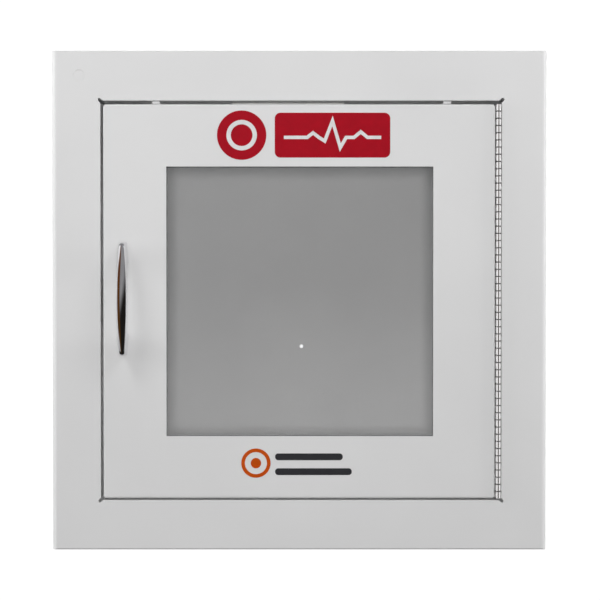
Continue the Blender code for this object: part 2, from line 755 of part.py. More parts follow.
def make_alarm_base(frame):
    top = ALARM_TOP
    low = (ALARM_LEFT, ALARM_FRONT, top - ALARM_PLATE)
    plate = box("alarm_base", low, (ALARM_RIGHT, ALARM_REAR, top), WHITE_PLASTIC)
    pieces = [plate]
    for side, x in (("left", ALARM_LEFT + ALARM_POST_INSET), ("right", ALARM_RIGHT - ALARM_POST_INSET)):
        y = ALARM_REAR - ALARM_POST_BACK
        floor = ALARM_LOW + ALARM_WALL + GAP
        post_centre = (x, y, (floor + top - 0.001) / 2)
        boolean(
            plate, rod(f"post_{side}", post_centre, 0.003, top - 0.001 - floor, "Z", group=cutters), "UNION"
        )
        bore = (x, y, floor + 0.005)
        boolean(plate, rod(f"post_bore_{side}", bore, 0.0016, 0.014, "Z", group=cutters, sides=12))
    for side, x in (("left", ALARM_LEFT + ALARM_SCREW_INSET), ("right", ALARM_RIGHT - ALARM_SCREW_INSET)):
        y = FACE + ALARM_SCREW_DEPTH
        centre = (x, y, OPENING_HIGH)
        for target, name in ((plate, "base"), (frame, "jamb")):
            boolean(target, rod(f"{name}_alarm_hole_{side}", centre, 0.0018, 0.012, "Z", group=cutters, sides=12))
        head_z = top - ALARM_PLATE - GAP - 0.0009
        screw = rod(f"alarm_mount_screw_{side}", (x, y, head_z), 0.0030, 0.0018, "Z", ZINC)
        tip = OPENING_HIGH + 0.006
        shank = rod(
            f"alarm_mount_shank_{side}", (x, y, (tip + head_z) / 2), 0.0015, tip - head_z, "Z",
            group=cutters, sides=12,
        )
        boolean(screw, shank, "UNION")
        pieces.append(screw)
    return pieces


def make_alarm_cover():
    top = ALARM_TOP - ALARM_PLATE - GAP
    cover = box("alarm_cover", (ALARM_LEFT, ALARM_FRONT, ALARM_LOW), (ALARM_RIGHT, ALARM_REAR, top), WHITE_PLASTIC)
    wall = ALARM_WALL
    hollow = box(
        "alarm_hollow",
        (ALARM_LEFT + wall, ALARM_FRONT + wall, ALARM_LOW + wall),
        (ALARM_RIGHT - wall, ALARM_REAR - wall, top + 0.01),
        group=cutters,
    )
    boolean(cover, hollow)
    x, z = PLUNGER_CENTRE
    plunger_hole = (x, ALARM_FRONT, z)
    boolean(cover, rod("plunger_hole", plunger_hole, PLUNGER_RADIUS + GAP, 0.012, "Y", group=cutters))
    x, z = ROCKER_CENTRE
    rocker_hole = box(
        "rocker_cutter", (x - 0.0075, ALARM_FRONT - 0.01, z - 0.0060), (x + 0.0075, ALARM_FRONT + 0.01, z + 0.0060),
        group=cutters,
    )
    boolean(cover, rocker_hole)
    for row in range(-2, 3):
        low = (SIREN_CENTRE[0] - 0.008, SIREN_CENTRE[1] + row * 0.0036 - 0.0009, ALARM_LOW - 0.01)
        high = (SIREN_CENTRE[0] + 0.008, SIREN_CENTRE[1] + row * 0.0036 + 0.0009, ALARM_LOW + 0.01)
        boolean(cover, box(f"siren_slot_{row + 3}", low, high, group=cutters))
    pieces = [cover]
    for side, x in (("left", ALARM_LEFT + ALARM_POST_INSET), ("right", ALARM_RIGHT - ALARM_POST_INSET)):
        y = ALARM_REAR - ALARM_POST_BACK
        centre = (x, y, ALARM_LOW)
        boolean(cover, rod(f"cover_hole_{side}", centre, 0.0016, 0.01, "Z", group=cutters, sides=12))
        head_z = ALARM_LOW - GAP - 0.0008
        screw = rod(f"alarm_cover_screw_{side}", (x, y, head_z), 0.0026, 0.0016, "Z", ZINC)
        tip = ALARM_LOW + ALARM_WALL + 0.009
        shank = rod(
            f"alarm_cover_shank_{side}", (x, y, (tip + head_z) / 2), 0.0013, tip - head_z, "Z",
            group=cutters, sides=12,
        )
        boolean(screw, shank, "UNION")
        pieces.append(screw)
    return pieces


def make_alarm_inside():
    floor = ALARM_LOW + ALARM_WALL + GAP
    board_top = ALARM_TOP - 0.0058
    board = box(
        "alarm_circuit_board",
        (ALARM_LEFT + 0.016, ALARM_FRONT + 0.0035, board_top - 0.0016),
        (ALARM_RIGHT - 0.012, ALARM_REAR - 0.0035, board_top),
        BOARD_GREEN,
    )
    battery_left = ALARM_LEFT + 0.0125
    battery_rear = ALARM_REAR - ALARM_WALL - GAP
    battery = box(
        "alarm_battery",
        (battery_left, battery_rear - 0.0175, floor),
        (battery_left + 0.0465, battery_rear, floor + 0.0265),
        BATTERY_WRAP,
    )
    x, y = SIREN_CENTRE
    siren = rod("alarm_siren", (x, y, floor + 0.0045), 0.0105, 0.009, "Z", BLACK_PLASTIC, sides=24)
    x, z = PLUNGER_CENTRE
    switch = box(
        "door_switch_body",
        (x - 0.006, ALARM_FRONT + PLUNGER_TRAVEL_ROOM, z - 0.0040),
        (x + 0.006, ALARM_FRONT + 0.0215, z + 0.0055),
        BLACK_PLASTIC,
    )
    return [board, battery, siren, switch]


def make_plunger():
    """The push rod that the closed door holds in, with the collar that keeps it in the cover."""
    x, z = PLUNGER_CENTRE
    tip = DOOR_BACK + GAP
    rear = ALARM_FRONT + PLUNGER_TRAVEL_ROOM - GAP
    plunger = rod("alarm_plunger", (x, (tip + rear) / 2, z), PLUNGER_RADIUS, rear - tip, "Y", BLACK_PLASTIC)
    collar_y = ALARM_FRONT + 0.0085
    boolean(
        plunger, rod("plunger_collar", (x, collar_y, z), 0.0034, 0.0012, "Y", group=cutters), "UNION"
    )
    attach([plunger], empty("plunger_slide", (x, ALARM_FRONT, z)))
    return plunger


def make_rocker():
    """An on/off rocker in its bezel, resting at on."""
    x, z = ROCKER_CENTRE
    front = ALARM_FRONT
    body_rear = front + ROCKER_DEPTH
    body = box(
        "rocker_bezel", (x - 0.0072, front - 0.0010, z - 0.0057), (x + 0.0072, body_rear, z + 0.0057), BLACK_PLASTIC
    )
    flange = box(
        "bezel_flange", (x - 0.0090, front - 0.0012, z - 0.0075), (x + 0.0090, front - GAP, z + 0.0075), group=cutters
    )
    boolean(body, flange, "UNION")
    pocket = box(
        "bezel_pocket", (x - 0.0062, front - 0.01, z - 0.0048), (x + 0.0062, body_rear - 0.0010, z + 0.0048),
        group=cutters,
    )
    boolean(body, pocket)
    pivot_y = front + 0.0016
    pivot = empty("rocker_pivot", (x, pivot_y, z), (ROCKER_TILT, 0, 0))
    outline = [(0.0022, 0.0030), (-0.0026, 0.0040), (-0.0016, 0.0), (-0.0026, -0.0040), (0.0022, -0.0030)]
    side_turn = Matrix(((0, 0, 1, 0), (1, 0, 0, 0), (0, 1, 0, 0), (0, 0, 0, 1)))
    rocker = outline_solid("alarm_rocker", [outline], 0.0116, side_turn, pivot.location, BLACK_PLASTIC)
    attach([rocker], pivot)
    return [body, rocker]


# Assembly

front_frame = make_front_frame()
make_end_panel("top_panel", 1)
make_end_panel("bottom_panel", -1)
make_back_panel()
make_knockout_slug()
make_hinge_leaf("hinge_frame_leaf", 1, 0)
make_hinge_pin()
make_catch(front_frame)
make_door_stops()
make_alarm_base(front_frame)
make_alarm_cover()
make_alarm_inside()
make_plunger()
make_rocker()

door_panel = make_door_panel()
handle = make_handle()
channels = make_channels()
door_pieces = [door_panel, handle, make_gasket(), make_pane(), make_hinge_leaf("hinge_door_leaf", -1, 1)]
door_pieces += channels + make_channel_fasteners(channels[3])
door_pieces += make_handle_screws(door_panel, handle) + make_strike_plate() + make_labels()
attach(door_pieces, empty("door_hinge", HINGE_AXIS))
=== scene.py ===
"""Looks of the AED wall cabinet: powder coat, chrome bow, nickel hinge, clear window, labels, studio."""

import json
from math import acos, atan, cos, pi, radians, sin

import bmesh
import bpy
from mathutils import Matrix, Vector


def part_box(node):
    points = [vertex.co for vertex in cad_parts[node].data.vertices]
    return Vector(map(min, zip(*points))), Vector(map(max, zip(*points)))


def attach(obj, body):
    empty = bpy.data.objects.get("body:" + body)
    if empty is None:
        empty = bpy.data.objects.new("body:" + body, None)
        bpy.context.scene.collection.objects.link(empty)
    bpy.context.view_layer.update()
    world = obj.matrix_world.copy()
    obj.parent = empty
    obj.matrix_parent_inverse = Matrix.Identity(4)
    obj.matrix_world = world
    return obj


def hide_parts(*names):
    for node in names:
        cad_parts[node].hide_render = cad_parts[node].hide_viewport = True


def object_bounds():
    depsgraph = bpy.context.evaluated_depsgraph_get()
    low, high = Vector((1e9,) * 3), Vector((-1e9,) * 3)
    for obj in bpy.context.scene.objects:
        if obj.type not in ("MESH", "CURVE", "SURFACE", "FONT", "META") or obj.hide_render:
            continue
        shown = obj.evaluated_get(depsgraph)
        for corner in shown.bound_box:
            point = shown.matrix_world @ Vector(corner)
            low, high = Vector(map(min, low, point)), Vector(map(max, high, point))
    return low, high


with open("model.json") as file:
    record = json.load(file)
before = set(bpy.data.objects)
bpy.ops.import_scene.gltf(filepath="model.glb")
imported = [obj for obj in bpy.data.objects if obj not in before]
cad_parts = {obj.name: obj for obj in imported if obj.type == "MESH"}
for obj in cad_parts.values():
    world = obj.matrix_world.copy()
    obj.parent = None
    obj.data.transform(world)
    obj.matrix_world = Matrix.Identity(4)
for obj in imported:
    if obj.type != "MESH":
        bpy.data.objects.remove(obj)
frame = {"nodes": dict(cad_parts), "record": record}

cad_low, cad_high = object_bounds()

# Places from the frame
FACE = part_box("door_panel")[0].y
HINGE_LOW, HINGE_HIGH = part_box("hinge_pin")
HINGE_X = (HINGE_LOW.x + HINGE_HIGH.x) / 2

# Camera: straight at the front, from slightly above its middle
CAMERA_DISTANCE = 1.45
CAMERA_RAISE = 0.022
VIEW_WIDTH = 0.5314
AIM = Vector((0.0006, FACE, 0.0006))
SENSOR = 36.0


# Node helpers


class Nodes:
    """A material's node tree with short ways to add and join nodes."""

    def __init__(self, name):
        self.material = bpy.data.materials.new(name)
        self.material.use_nodes = True
        self.tree = self.material.node_tree
        self.shader = self.tree.nodes["Principled BSDF"]
        self.output = self.tree.nodes["Material Output"]
        self.coordinates = self.add("ShaderNodeTexCoord").outputs["Object"]

    def add(self, kind, **settings):
        node = self.tree.nodes.new(kind)
        for key, value in settings.items():
            setattr(node, key, value)
        return node

    def join(self, source, target):
        self.tree.links.new(source, target)

    def noise(self, scale, detail=3.0, roughness=0.5, stretch=None):
        texture = self.add("ShaderNodeTexNoise")
        texture.inputs["Scale"].default_value = scale
        texture.inputs["Detail"].default_value = detail
        texture.inputs["Roughness"].default_value = roughness
        source = self.coordinates
        if stretch:
            mapping = self.add("ShaderNodeMapping")
            mapping.inputs["Scale"].default_value = stretch
            self.join(source, mapping.inputs["Vector"])
            source = mapping.outputs["Vector"]
        self.join(source, texture.inputs["Vector"])
        return texture.outputs["Fac"]

    def ramp(self, source, low, high, start=0.3, end=0.7):
        """A value or a colour that runs from low to high as source goes from start to end."""
        if isinstance(low, tuple):
            node = self.add("ShaderNodeValToRGB")
            node.color_ramp.elements[0].position = start
            node.color_ramp.elements[1].position = end
            node.color_ramp.elements[0].color = (*low, 1)
            node.color_ramp.elements[1].color = (*high, 1)
            self.join(source, node.inputs["Fac"])
            return node.outputs["Color"]
        node = self.add("ShaderNodeMapRange")
        node.inputs["From Min"].default_value = start
        node.inputs["From Max"].default_value = end
        node.inputs["To Min"].default_value = low
        node.inputs["To Max"].default_value = high
        self.join(source, node.inputs["Value"])
        return node.outputs["Result"]

    def bump(self, height, strength, distance):
        node = self.add("ShaderNodeBump")
        node.inputs["Strength"].default_value = strength
        node.inputs["Distance"].default_value = distance
        self.join(height, node.inputs["Height"])
        self.join(node.outputs["Normal"], self.shader.inputs["Normal"])
        return node.outputs["Normal"]

    def set(self, **values):
        for name, value in values.items():
            self.shader.inputs[name.replace("_", " ")].default_value = value


# Materials


def powder_coat():
    """White powder coat: faint orange peel, fine speckle in its sheen and slow drift in its white."""
    made = Nodes("white_powder_coat")
    drift = made.noise(9, 2)
    made.join(made.ramp(drift, (0.80, 0.80, 0.802), (0.83, 0.83, 0.831)), made.shader.inputs["Base Color"])
    made.join(made.ramp(made.noise(420, 3), 0.34, 0.46), made.shader.inputs["Roughness"])
    made.bump(made.noise(950, 2.5, 0.55), 0.22, 0.00006)
    made.set(Coat_Weight=0.12, Coat_Roughness=0.22)
    return made.material


def chrome():
    made = Nodes("polished_chrome")
    cast = made.noise(60, 2)
    made.join(made.ramp(cast, (0.70, 0.69, 0.71), (0.76, 0.75, 0.77)), made.shader.inputs["Base Color"])
    made.join(made.ramp(made.noise(1400, 3), 0.035, 0.085), made.shader.inputs["Roughness"])
    made.bump(made.noise(90, 1.5), 0.12, 0.00008)
    made.set(Metallic=1.0)
    return made.material


def brushed_metal(name, dark, light, roughness, stretch, grain=900):
    """Plated metal with fine drawn lines along the short side of stretch."""
    made = Nodes(name)
    lines = made.noise(grain, 4, 0.6, stretch)
    made.join(made.ramp(lines, dark, light), made.shader.inputs["Base Color"])
    made.join(made.ramp(lines, roughness * 0.8, roughness * 1.3), made.shader.inputs["Roughness"])
    made.bump(lines, 0.15, 0.00003)
    made.set(Metallic=1.0)
    return made.material


def moulded_plastic(name, colour, roughness, grain=1300, strength=0.25):
    made = Nodes(name)
    low = tuple(channel * 0.93 for channel in colour)
    high = tuple(min(channel * 1.07, 1) for channel in colour)
    made.join(made.ramp(made.noise(30, 2), low, high), made.shader.inputs["Base Color"])
    uneven = made.ramp(made.noise(500, 2), roughness * 0.85, roughness * 1.15)
    made.join(uneven, made.shader.inputs["Roughness"])
    made.bump(made.noise(grain, 3, 0.6), strength, 0.00005)
    return made.material


def foam():
    made = Nodes("closed_cell_foam")
    cells = made.add("ShaderNodeTexVoronoi")
    cells.inputs["Scale"].default_value = 1600
    made.join(made.coordinates, cells.inputs["Vector"])
    cell = cells.outputs["Distance"]
    grey = made.ramp(cell, (0.13, 0.13, 0.135), (0.23, 0.23, 0.235), 0, 0.8)
    made.join(grey, made.shader.inputs["Base Color"])
    made.bump(cell, 0.5, 0.0002)
    made.set(Roughness=0.9)
    return made.material


PANE_GLOSS_HEAD_ON = 0.04
PANE_GLOSS_POWER = 5.0


def clear_sheet():
    """Clear acrylic: what is behind shows through, with a trace of haze and dust and a gloss that grows
    as the view gets more slanting. The gloss is the same on both sides of the sheet."""
    made = Nodes("clear_acrylic")
    made.tree.nodes.remove(made.shader)
    clear = made.add("ShaderNodeBsdfTransparent")
    clear.inputs["Color"].default_value = (0.99, 0.99, 0.99, 1)
    gloss = made.add("ShaderNodeBsdfGlossy")
    gloss.inputs["Color"].default_value = (1, 1, 1, 1)
    made.join(made.ramp(made.noise(25, 3), 0.02, 0.05), gloss.inputs["Roughness"])
    haze = made.add("ShaderNodeBsdfDiffuse")
    haze.inputs["Color"].default_value = (0.6, 0.6, 0.6, 1)
    dust = made.ramp(made.noise(14, 5, 0.65), 0.004, 0.022)
    hazy = made.add("ShaderNodeMixShader")
    made.join(dust, hazy.inputs["Fac"])
    made.join(clear.outputs["BSDF"], hazy.inputs[1])
    made.join(haze.outputs["BSDF"], hazy.inputs[2])
    tilt = made.add("ShaderNodeLayerWeight")
    steep = made.add("ShaderNodeMath", operation="POWER")
    made.join(tilt.outputs["Facing"], steep.inputs[0])
    steep.inputs[1].default_value = PANE_GLOSS_POWER
    share = made.ramp(steep.outputs[0], PANE_GLOSS_HEAD_ON, 1.0, 0.0, 1.0)
    mixed = made.add("ShaderNodeMixShader")
    made.join(share, mixed.inputs["Fac"])
    made.join(hazy.outputs["Shader"], mixed.inputs[1])
    made.join(gloss.outputs["BSDF"], mixed.inputs[2])
    made.join(mixed.outputs["Shader"], made.output.inputs["Surface"])
    return made.material


def film(name, colour, roughness=0.32):
    """Printed vinyl: even ink with a faint mottle and a satin laminate."""
    made = Nodes(name)
    low = tuple(channel * 0.93 for channel in colour)
    high = tuple(min(channel * 1.06, 1) for channel in colour)
    made.join(made.ramp(made.noise(160, 3), low, high), made.shader.inputs["Base Color"])
    uneven = made.ramp(made.noise(700, 2), roughness * 0.9, roughness * 1.1)
    made.join(uneven, made.shader.inputs["Roughness"])
    made.bump(made.noise(600, 2), 0.08, 0.00004)
    return made.material


def circuit_board():
    made = Nodes("circuit_board")
    grid = made.add("ShaderNodeTexBrick")
    grid.inputs["Scale"].default_value = 90
    grid.inputs["Color1"].default_value = (0.012, 0.10, 0.035, 1)
    grid.inputs["Color2"].default_value = (0.016, 0.13, 0.045, 1)
    grid.inputs["Mortar"].default_value = (0.03, 0.20, 0.07, 1)
    grid.inputs["Mortar Size"].default_value = 0.03
    made.join(made.coordinates, grid.inputs["Vector"])
    made.join(grid.outputs["Color"], made.shader.inputs["Base Color"])
    made.set(Roughness=0.35)
    return made.material


PAINT = powder_coat()
CHROME = chrome()
NICKEL = brushed_metal("nickel_plate", (0.76, 0.75, 0.75), (0.88, 0.87, 0.87), 0.16, (1, 1, 0.06))
ZINC = brushed_metal("zinc_plate", (0.52, 0.52, 0.50), (0.66, 0.66, 0.64), 0.30, (0.3, 1, 1), 500)
# Hinge pin steel, darkened well past its own colour as painted shade, so the knuckle gaps, where only the
# pin shows, read as dark joint lines
PIN_STEEL_PAINTED_SHADE = brushed_metal("pin_steel_painted_shade", (0.10, 0.10, 0.10), (0.16, 0.16, 0.16), 0.45, (1, 1, 0.2), 700)
ACRYLIC = clear_sheet()
FOAM = foam()
WHITE_PLASTIC = moulded_plastic("white_abs", (0.70, 0.70, 0.68), 0.42)
BLACK_PLASTIC = moulded_plastic("black_abs", (0.028, 0.028, 0.030), 0.40)
CLEAR_RUBBER = moulded_plastic("clear_rubber", (0.80, 0.81, 0.82), 0.35, 400, 0.1)
FERRITE = moulded_plastic("ferrite", (0.05, 0.05, 0.055), 0.7, 1800, 0.5)
BOARD = circuit_board()
BATTERY = moulded_plastic("battery_wrap", (0.05, 0.06, 0.08), 0.35)
RED = film("red_vinyl", (0.40, 0.0035, 0.014))
ORANGE = film("orange_vinyl", (0.58, 0.080, 0.003))
WHITE_INK = film("white_vinyl", (0.80, 0.80, 0.80))
GREY_INK = film("dark_grey_vinyl", (0.032, 0.032, 0.036))

BY_SLOT = {
    "white_paint": PAINT,
    "chrome": CHROME,
    "nickel": NICKEL,
    "zinc": ZINC,
    "clear_acrylic": ACRYLIC,
    "grey_foam": FOAM,
    "white_plastic": WHITE_PLASTIC,
    "black_plastic": BLACK_PLASTIC,
    "clear_rubber": CLEAR_RUBBER,
    "magnet": FERRITE,
    "circuit_board": BOARD,
    "battery_wrap": BATTERY,
    "red_film": RED,
    "orange_film": ORANGE,
}

# Rounding of each CAD node's edges, in metres; nodes not named get DEFAULT_ROUND
WELD_DISTANCE = 0.000002
ROUND_SEGMENTS = 2
ROUND_ABOVE = radians(35)
DEFAULT_ROUND = 0.00025
ROUND = {
    "front_frame": 0.0002,
    "door_panel": 0.00022,
    "top_panel": 0.0005,
    "bottom_panel": 0.0005,
    "back_panel": 0.0005,
    "alarm_cover": 0.0008,
    "alarm_base": 0.0006,
    "catch_housing": 0.0007,
    "window_pane": 0.0003,
    "alarm_battery": 0.0010,
    "rocker_bezel": 0.0004,
    "alarm_rocker": 0.0005,
    "door_switch_body": 0.0004,
}


def dress_nodes():
    """Gives every CAD node its material and softly rounded edges."""
    slots = {row["node"]: row["material_slot"] for row in frame["record"]["subparts"]}
    for name, piece in frame["nodes"].items():
        piece.data.materials.clear()
        # The hinge pin gets the darkened steel: painted shade in the knuckle joints, in place of its
        # recorded finish
        piece.data.materials.append(PIN_STEEL_PAINTED_SHADE if name == "hinge_pin" else BY_SLOT[slots[name]])
        weld = piece.modifiers.new("weld", "WELD")
        weld.merge_threshold = WELD_DISTANCE
        bevel = piece.modifiers.new("soft_edges", "BEVEL")
        bevel.width = ROUND.get(name, DEFAULT_ROUND)
        bevel.segments = ROUND_SEGMENTS
        bevel.limit_method = "ANGLE"
        bevel.angle_limit = ROUND_ABOVE
        bevel.use_clamp_overlap = True
        bevel.harden_normals = False


# Mesh helpers


def finish_piece(name, mesh, body, paint, location=(0, 0, 0), smooth=0.0):
    """Makes the object, shades it and lets it ride on its body. smooth is the sharp angle in degrees."""
    piece = bpy.data.objects.new(name, mesh)
    piece.location = location
    bpy.context.scene.collection.objects.link(piece)
    mesh.materials.clear()
    mesh.materials.append(paint)
    if smooth:
        mesh.shade_smooth()
        mesh.set_sharp_from_angle(angle=radians(smooth))
    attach(piece, body)
    return piece


def mesh_of(shape, name):
    bmesh.ops.recalc_face_normals(shape, faces=shape.faces)
    mesh = bpy.data.meshes.new(name)
    shape.to_mesh(mesh)
    shape.free()
    return mesh


def loft(shape, rings, close_ends=True):
    """Joins rings of equal length into a tube, with a face over each end."""
    rows = [[shape.verts.new(point) for point in ring] for ring in rings]
    for near, far in zip(rows, rows[1:]):
        for index in range(len(near)):
            after = (index + 1) % len(near)
            shape.faces.new((near[index], near[after], far[after], far[index]))
    if close_ends:
        shape.faces.new(rows[0][::-1])
        shape.faces.new(rows[-1])
    return rows


def arc(centre, radius, start, end, steps):
    turns = [start + (end - start) * step / steps for step in range(steps + 1)]
    return [(centre[0] + radius * cos(turn), centre[1] + radius * sin(turn)) for turn in turns]


def circle(centre, radius, steps=64):
    return arc(centre, radius, 0, 2 * pi * (steps - 1) / steps, steps - 1)


def rounded_rectangle(left, right, low, high, radius, steps=8):
    corners = (
        ((right - radius, low + radius), -pi / 2),
        ((right - radius, high - radius), 0),
        ((left + radius, high - radius), pi / 2),
        ((left + radius, low + radius), pi),
    )
    points = []
    for centre, start in corners:
        points += arc(centre, radius, start, start + pi / 2, steps)
    return points


FILM_WELD = 0.000005


def flat_film(name, loops, front, thickness, body, paint):
    """A flat outline with its holes, in the XZ plane, thickness deep behind front."""
    curve = bpy.data.curves.new(name, "CURVE")
    curve.dimensions = "2D"
    curve.fill_mode = "BOTH"
    curve.extrude = thickness / 2
    for loop in loops:
        spline = curve.splines.new("POLY")
        spline.points.add(len(loop) - 1)
        spline.use_cyclic_u = True
        for point, (u, v) in zip(spline.points, loop):
            point.co = (u, v, 0, 1)
    source = bpy.data.objects.new(f"{name}_outline", curve)
    bpy.context.scene.collection.objects.link(source)
    graph = bpy.context.evaluated_depsgraph_get()
    mesh = bpy.data.meshes.new_from_object(source.evaluated_get(graph))
    bpy.data.objects.remove(source)
    shape = bmesh.new()
    shape.from_mesh(mesh)
    bmesh.ops.remove_doubles(shape, verts=shape.verts, dist=FILM_WELD)
    bmesh.ops.rotate(shape, verts=shape.verts, matrix=Matrix.Rotation(pi / 2, 3, "X"))
    bmesh.ops.translate(shape, verts=shape.verts, vec=(0, front + thickness / 2, 0))
    bpy.data.meshes.remove(mesh)
    return finish_piece(name, mesh_of(shape, name), body, paint)


# Handle, in metres; EDGE_SHARE is a share of half the bar's width

HANDLE_LEAN = 0.0010
HANDLE_SAG = 0.0030
HANDLE_CORNER = 0.0038
HANDLE_INNER_HALF = 0.0305
HANDLE_INNER_RISE = 0.0195
HANDLE_INNER_POWER = 2.4
HANDLE_END_WIDTH = 0.0040
HANDLE_STATIONS = 150
CROWN = radians(6.2)
EDGE_SHARE = 0.075
EDGE_STEPS = 6
CROWN_STEPS = 10
LEG_STEPS = 12
CORNER_STEPS = 24
FRONT_STEPS = 60
ARCH_STEPS = 180


def bow_outline(half, rise):
    """Outside of the pull from foot to foot: leaning legs, rounded corners and a slightly bowed front.
    Points are (distance off the door, distance along the door)."""
    centre_z = half - HANDLE_LEAN - HANDLE_CORNER
    turn = pi / 2 - atan(2 * HANDLE_SAG / centre_z)
    centre_off = rise - HANDLE_SAG - HANDLE_CORNER * sin(turn)
    joint = centre_z + HANDLE_CORNER * cos(turn)
    points = []
    for step in range(LEG_STEPS):
        points.append(Vector((centre_off * step / LEG_STEPS, half - HANDLE_LEAN * step / LEG_STEPS)))
    corner = arc((centre_z, centre_off), HANDLE_CORNER, 0, turn, CORNER_STEPS)
    points += [Vector((off, z)) for z, off in corner]
    for step in range(1, FRONT_STEPS + 1):
        z = joint * (1 - step / FRONT_STEPS)
        points.append(Vector((rise - HANDLE_SAG * (z / joint) ** 2, z)))
    return points + [Vector((point.x, -point.y)) for point in points[-2::-1]]


def arch_outline(half, rise):
    """Superellipse arch under the pull, from foot to foot."""
    points = []
    for step in range(ARCH_STEPS + 1):
        turn = pi * step / ARCH_STEPS
        along = abs(cos(turn)) ** (2 / HANDLE_INNER_POWER) * (1 if cos(turn) >= 0 else -1)
        points.append(Vector((rise * max(sin(turn), 0.0) ** (2 / HANDLE_INNER_POWER), along * half)))
    return points


def evenly(points, count):
    """The same line drawn again with count equal steps."""
    lengths = [0.0]
    for before, after in zip(points, points[1:]):
        lengths.append(lengths[-1] + (after - before).length)
    made, index = [points[0]], 0
    for step in range(1, count):
        target = lengths[-1] * step / count
        while lengths[index + 1] < target:
            index += 1
        share = (target - lengths[index]) / (lengths[index + 1] - lengths[index])
        made.append(points[index].lerp(points[index + 1], share))
    return made + [points[-1]]


def bar_section():
    """The bar's section, 2 wide and 2 through: a slightly crowned face between two rounded edges."""
    reach = 1 - EDGE_SHARE
    radius = reach / sin(CROWN)
    drop = radius * (1 - cos(CROWN))
    quarter = []
    for step in range(CROWN_STEPS + 1):
        turn = CROWN * step / CROWN_STEPS
        quarter.append((radius * sin(turn), 1 - radius * (1 - cos(turn))))
    for step in range(1, EDGE_STEPS + 1):
        turn = CROWN + (pi / 2 - CROWN) * step / EDGE_STEPS
        across = reach + EDGE_SHARE * (sin(turn) - sin(CROWN)) / (1 - sin(CROWN))
        quarter.append((across, 1 - drop - 2 * EDGE_SHARE * (cos(CROWN) - cos(turn))))
    half = quarter + [(u, -v) for u, v in quarter[::-1]]
    return half + [(-u, v) for u, v in half[::-1] if u > 0]


def make_handle():
    """Chrome bow pull, as wide as a lens seen from the front."""
    low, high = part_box("handle")
    centre_x, centre_z = (low.x + high.x) / 2, (low.z + high.z) / 2
    half, rise = (high.z - low.z) / 2, high.y - low.y
    widest, end = (high.x - low.x) / 2, HANDLE_END_WIDTH / 2
    section = bar_section()
    shape = bmesh.new()
    rings = []
    outside = evenly(bow_outline(half, rise), HANDLE_STATIONS)
    inside = evenly(arch_outline(HANDLE_INNER_HALF, HANDLE_INNER_RISE), HANDLE_STATIONS)
    for outer, inner in zip(outside, inside):
        ring = []
        for across, through in section:
            off, along = (outer + inner) / 2 + (outer - inner) / 2 * through
            width = end + (widest - end) * (1 - (along / half) ** 2)
            ring.append((centre_x + across * width, high.y - off, centre_z + along))
        rings.append(ring)
    loft(shape, rings)
    handle = finish_piece("handle_bow", mesh_of(shape, "handle_bow"), "door", CHROME, smooth=60)
    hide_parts("handle")
    return handle


# Continuous hinge: knuckle length and gap, end chamfer, sheet, seam, tail past the barrel, plate set-back

KNUCKLE = 0.00635
KNUCKLE_GAP = 0.0007
BARREL_SIDES = 28
CHAMFER = 0.00035
LEAF_SHEET = 0.001
SEAM = 0.0001
TAIL = 0.0012
PLATE_BACK = 0.0003


def make_hinge_leaf(name, node, side, first, body):
    """A leaf's plate and its knuckles, rolled round the pin with a seam at the back and lightly broken
    ends. side is +1 on the frame."""
    low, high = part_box(node)
    radius = FACE - low.y
    count = round((high.z - low.z) / KNUCKLE)
    shape = bmesh.new()
    end = 3 * pi - acos((radius - LEAF_SHEET - SEAM) / radius)
    bore = arc((0, 0), radius - LEAF_SHEET, end, pi, BARREL_SIDES)
    for index in range(count):
        if index % 2 != first:
            continue
        bottom = low.z + index * KNUCKLE + (KNUCKLE_GAP / 2 if index else 0)
        top = low.z + (index + 1) * KNUCKLE - (KNUCKLE_GAP / 2 if index < count - 1 else 0)
        rings = []
        for z, shrink in ((bottom, CHAMFER), (bottom + CHAMFER, 0), (top - CHAMFER, 0), (top, CHAMFER)):
            turned = arc((0, 0), radius - shrink, pi, end, BARREL_SIDES)
            tail = radius + TAIL
            outline = [(-radius + shrink, tail)] + turned + bore + [(LEAF_SHEET - radius, tail)]
            rings.append([(HINGE_X - side * x, FACE + y, z) for x, y in outline])
        loft(shape, rings)
    inside, outside = HINGE_X + side * (radius - LEAF_SHEET), HINGE_X + side * radius
    plate = bmesh.ops.create_cube(shape, size=1)["verts"]
    front, rear = FACE + radius + PLATE_BACK, high.y
    bmesh.ops.scale(shape, verts=plate, vec=(LEAF_SHEET, rear - front, high.z - low.z))
    centre = ((inside + outside) / 2, (front + rear) / 2, (low.z + high.z) / 2)
    bmesh.ops.translate(shape, verts=plate, vec=centre)
    leaf = finish_piece(name, mesh_of(shape, name), body, NICKEL, smooth=32)
    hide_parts(node)
    return leaf


# Labels: plain generic marks in place of the printed ones

FILM = 0.00012
FILM_LIFT = 0.00004
DISC_MARGIN = 0.0006
DISC_INSET = 0.0010
DISC_RING = (0.62, 0.44)
BAND_GAP = 0.0075
BAND_END = 0.0004
BAND_TRIM = 0.002
BAND_CORNER = 0.005
PULSE_INSET = 0.008
PULSE_DROP = 0.002
PULSE_RISE = 0.0145
PULSE_WIDTH = 0.0030
LOWER_INSET = 0.0140
LOWER_RING = (0.0130, 0.0098)
LOWER_DOT = 0.0046
BARS_START = 0.0310
BAR_HALF = 0.0030
BAR_CORNER = 0.0028


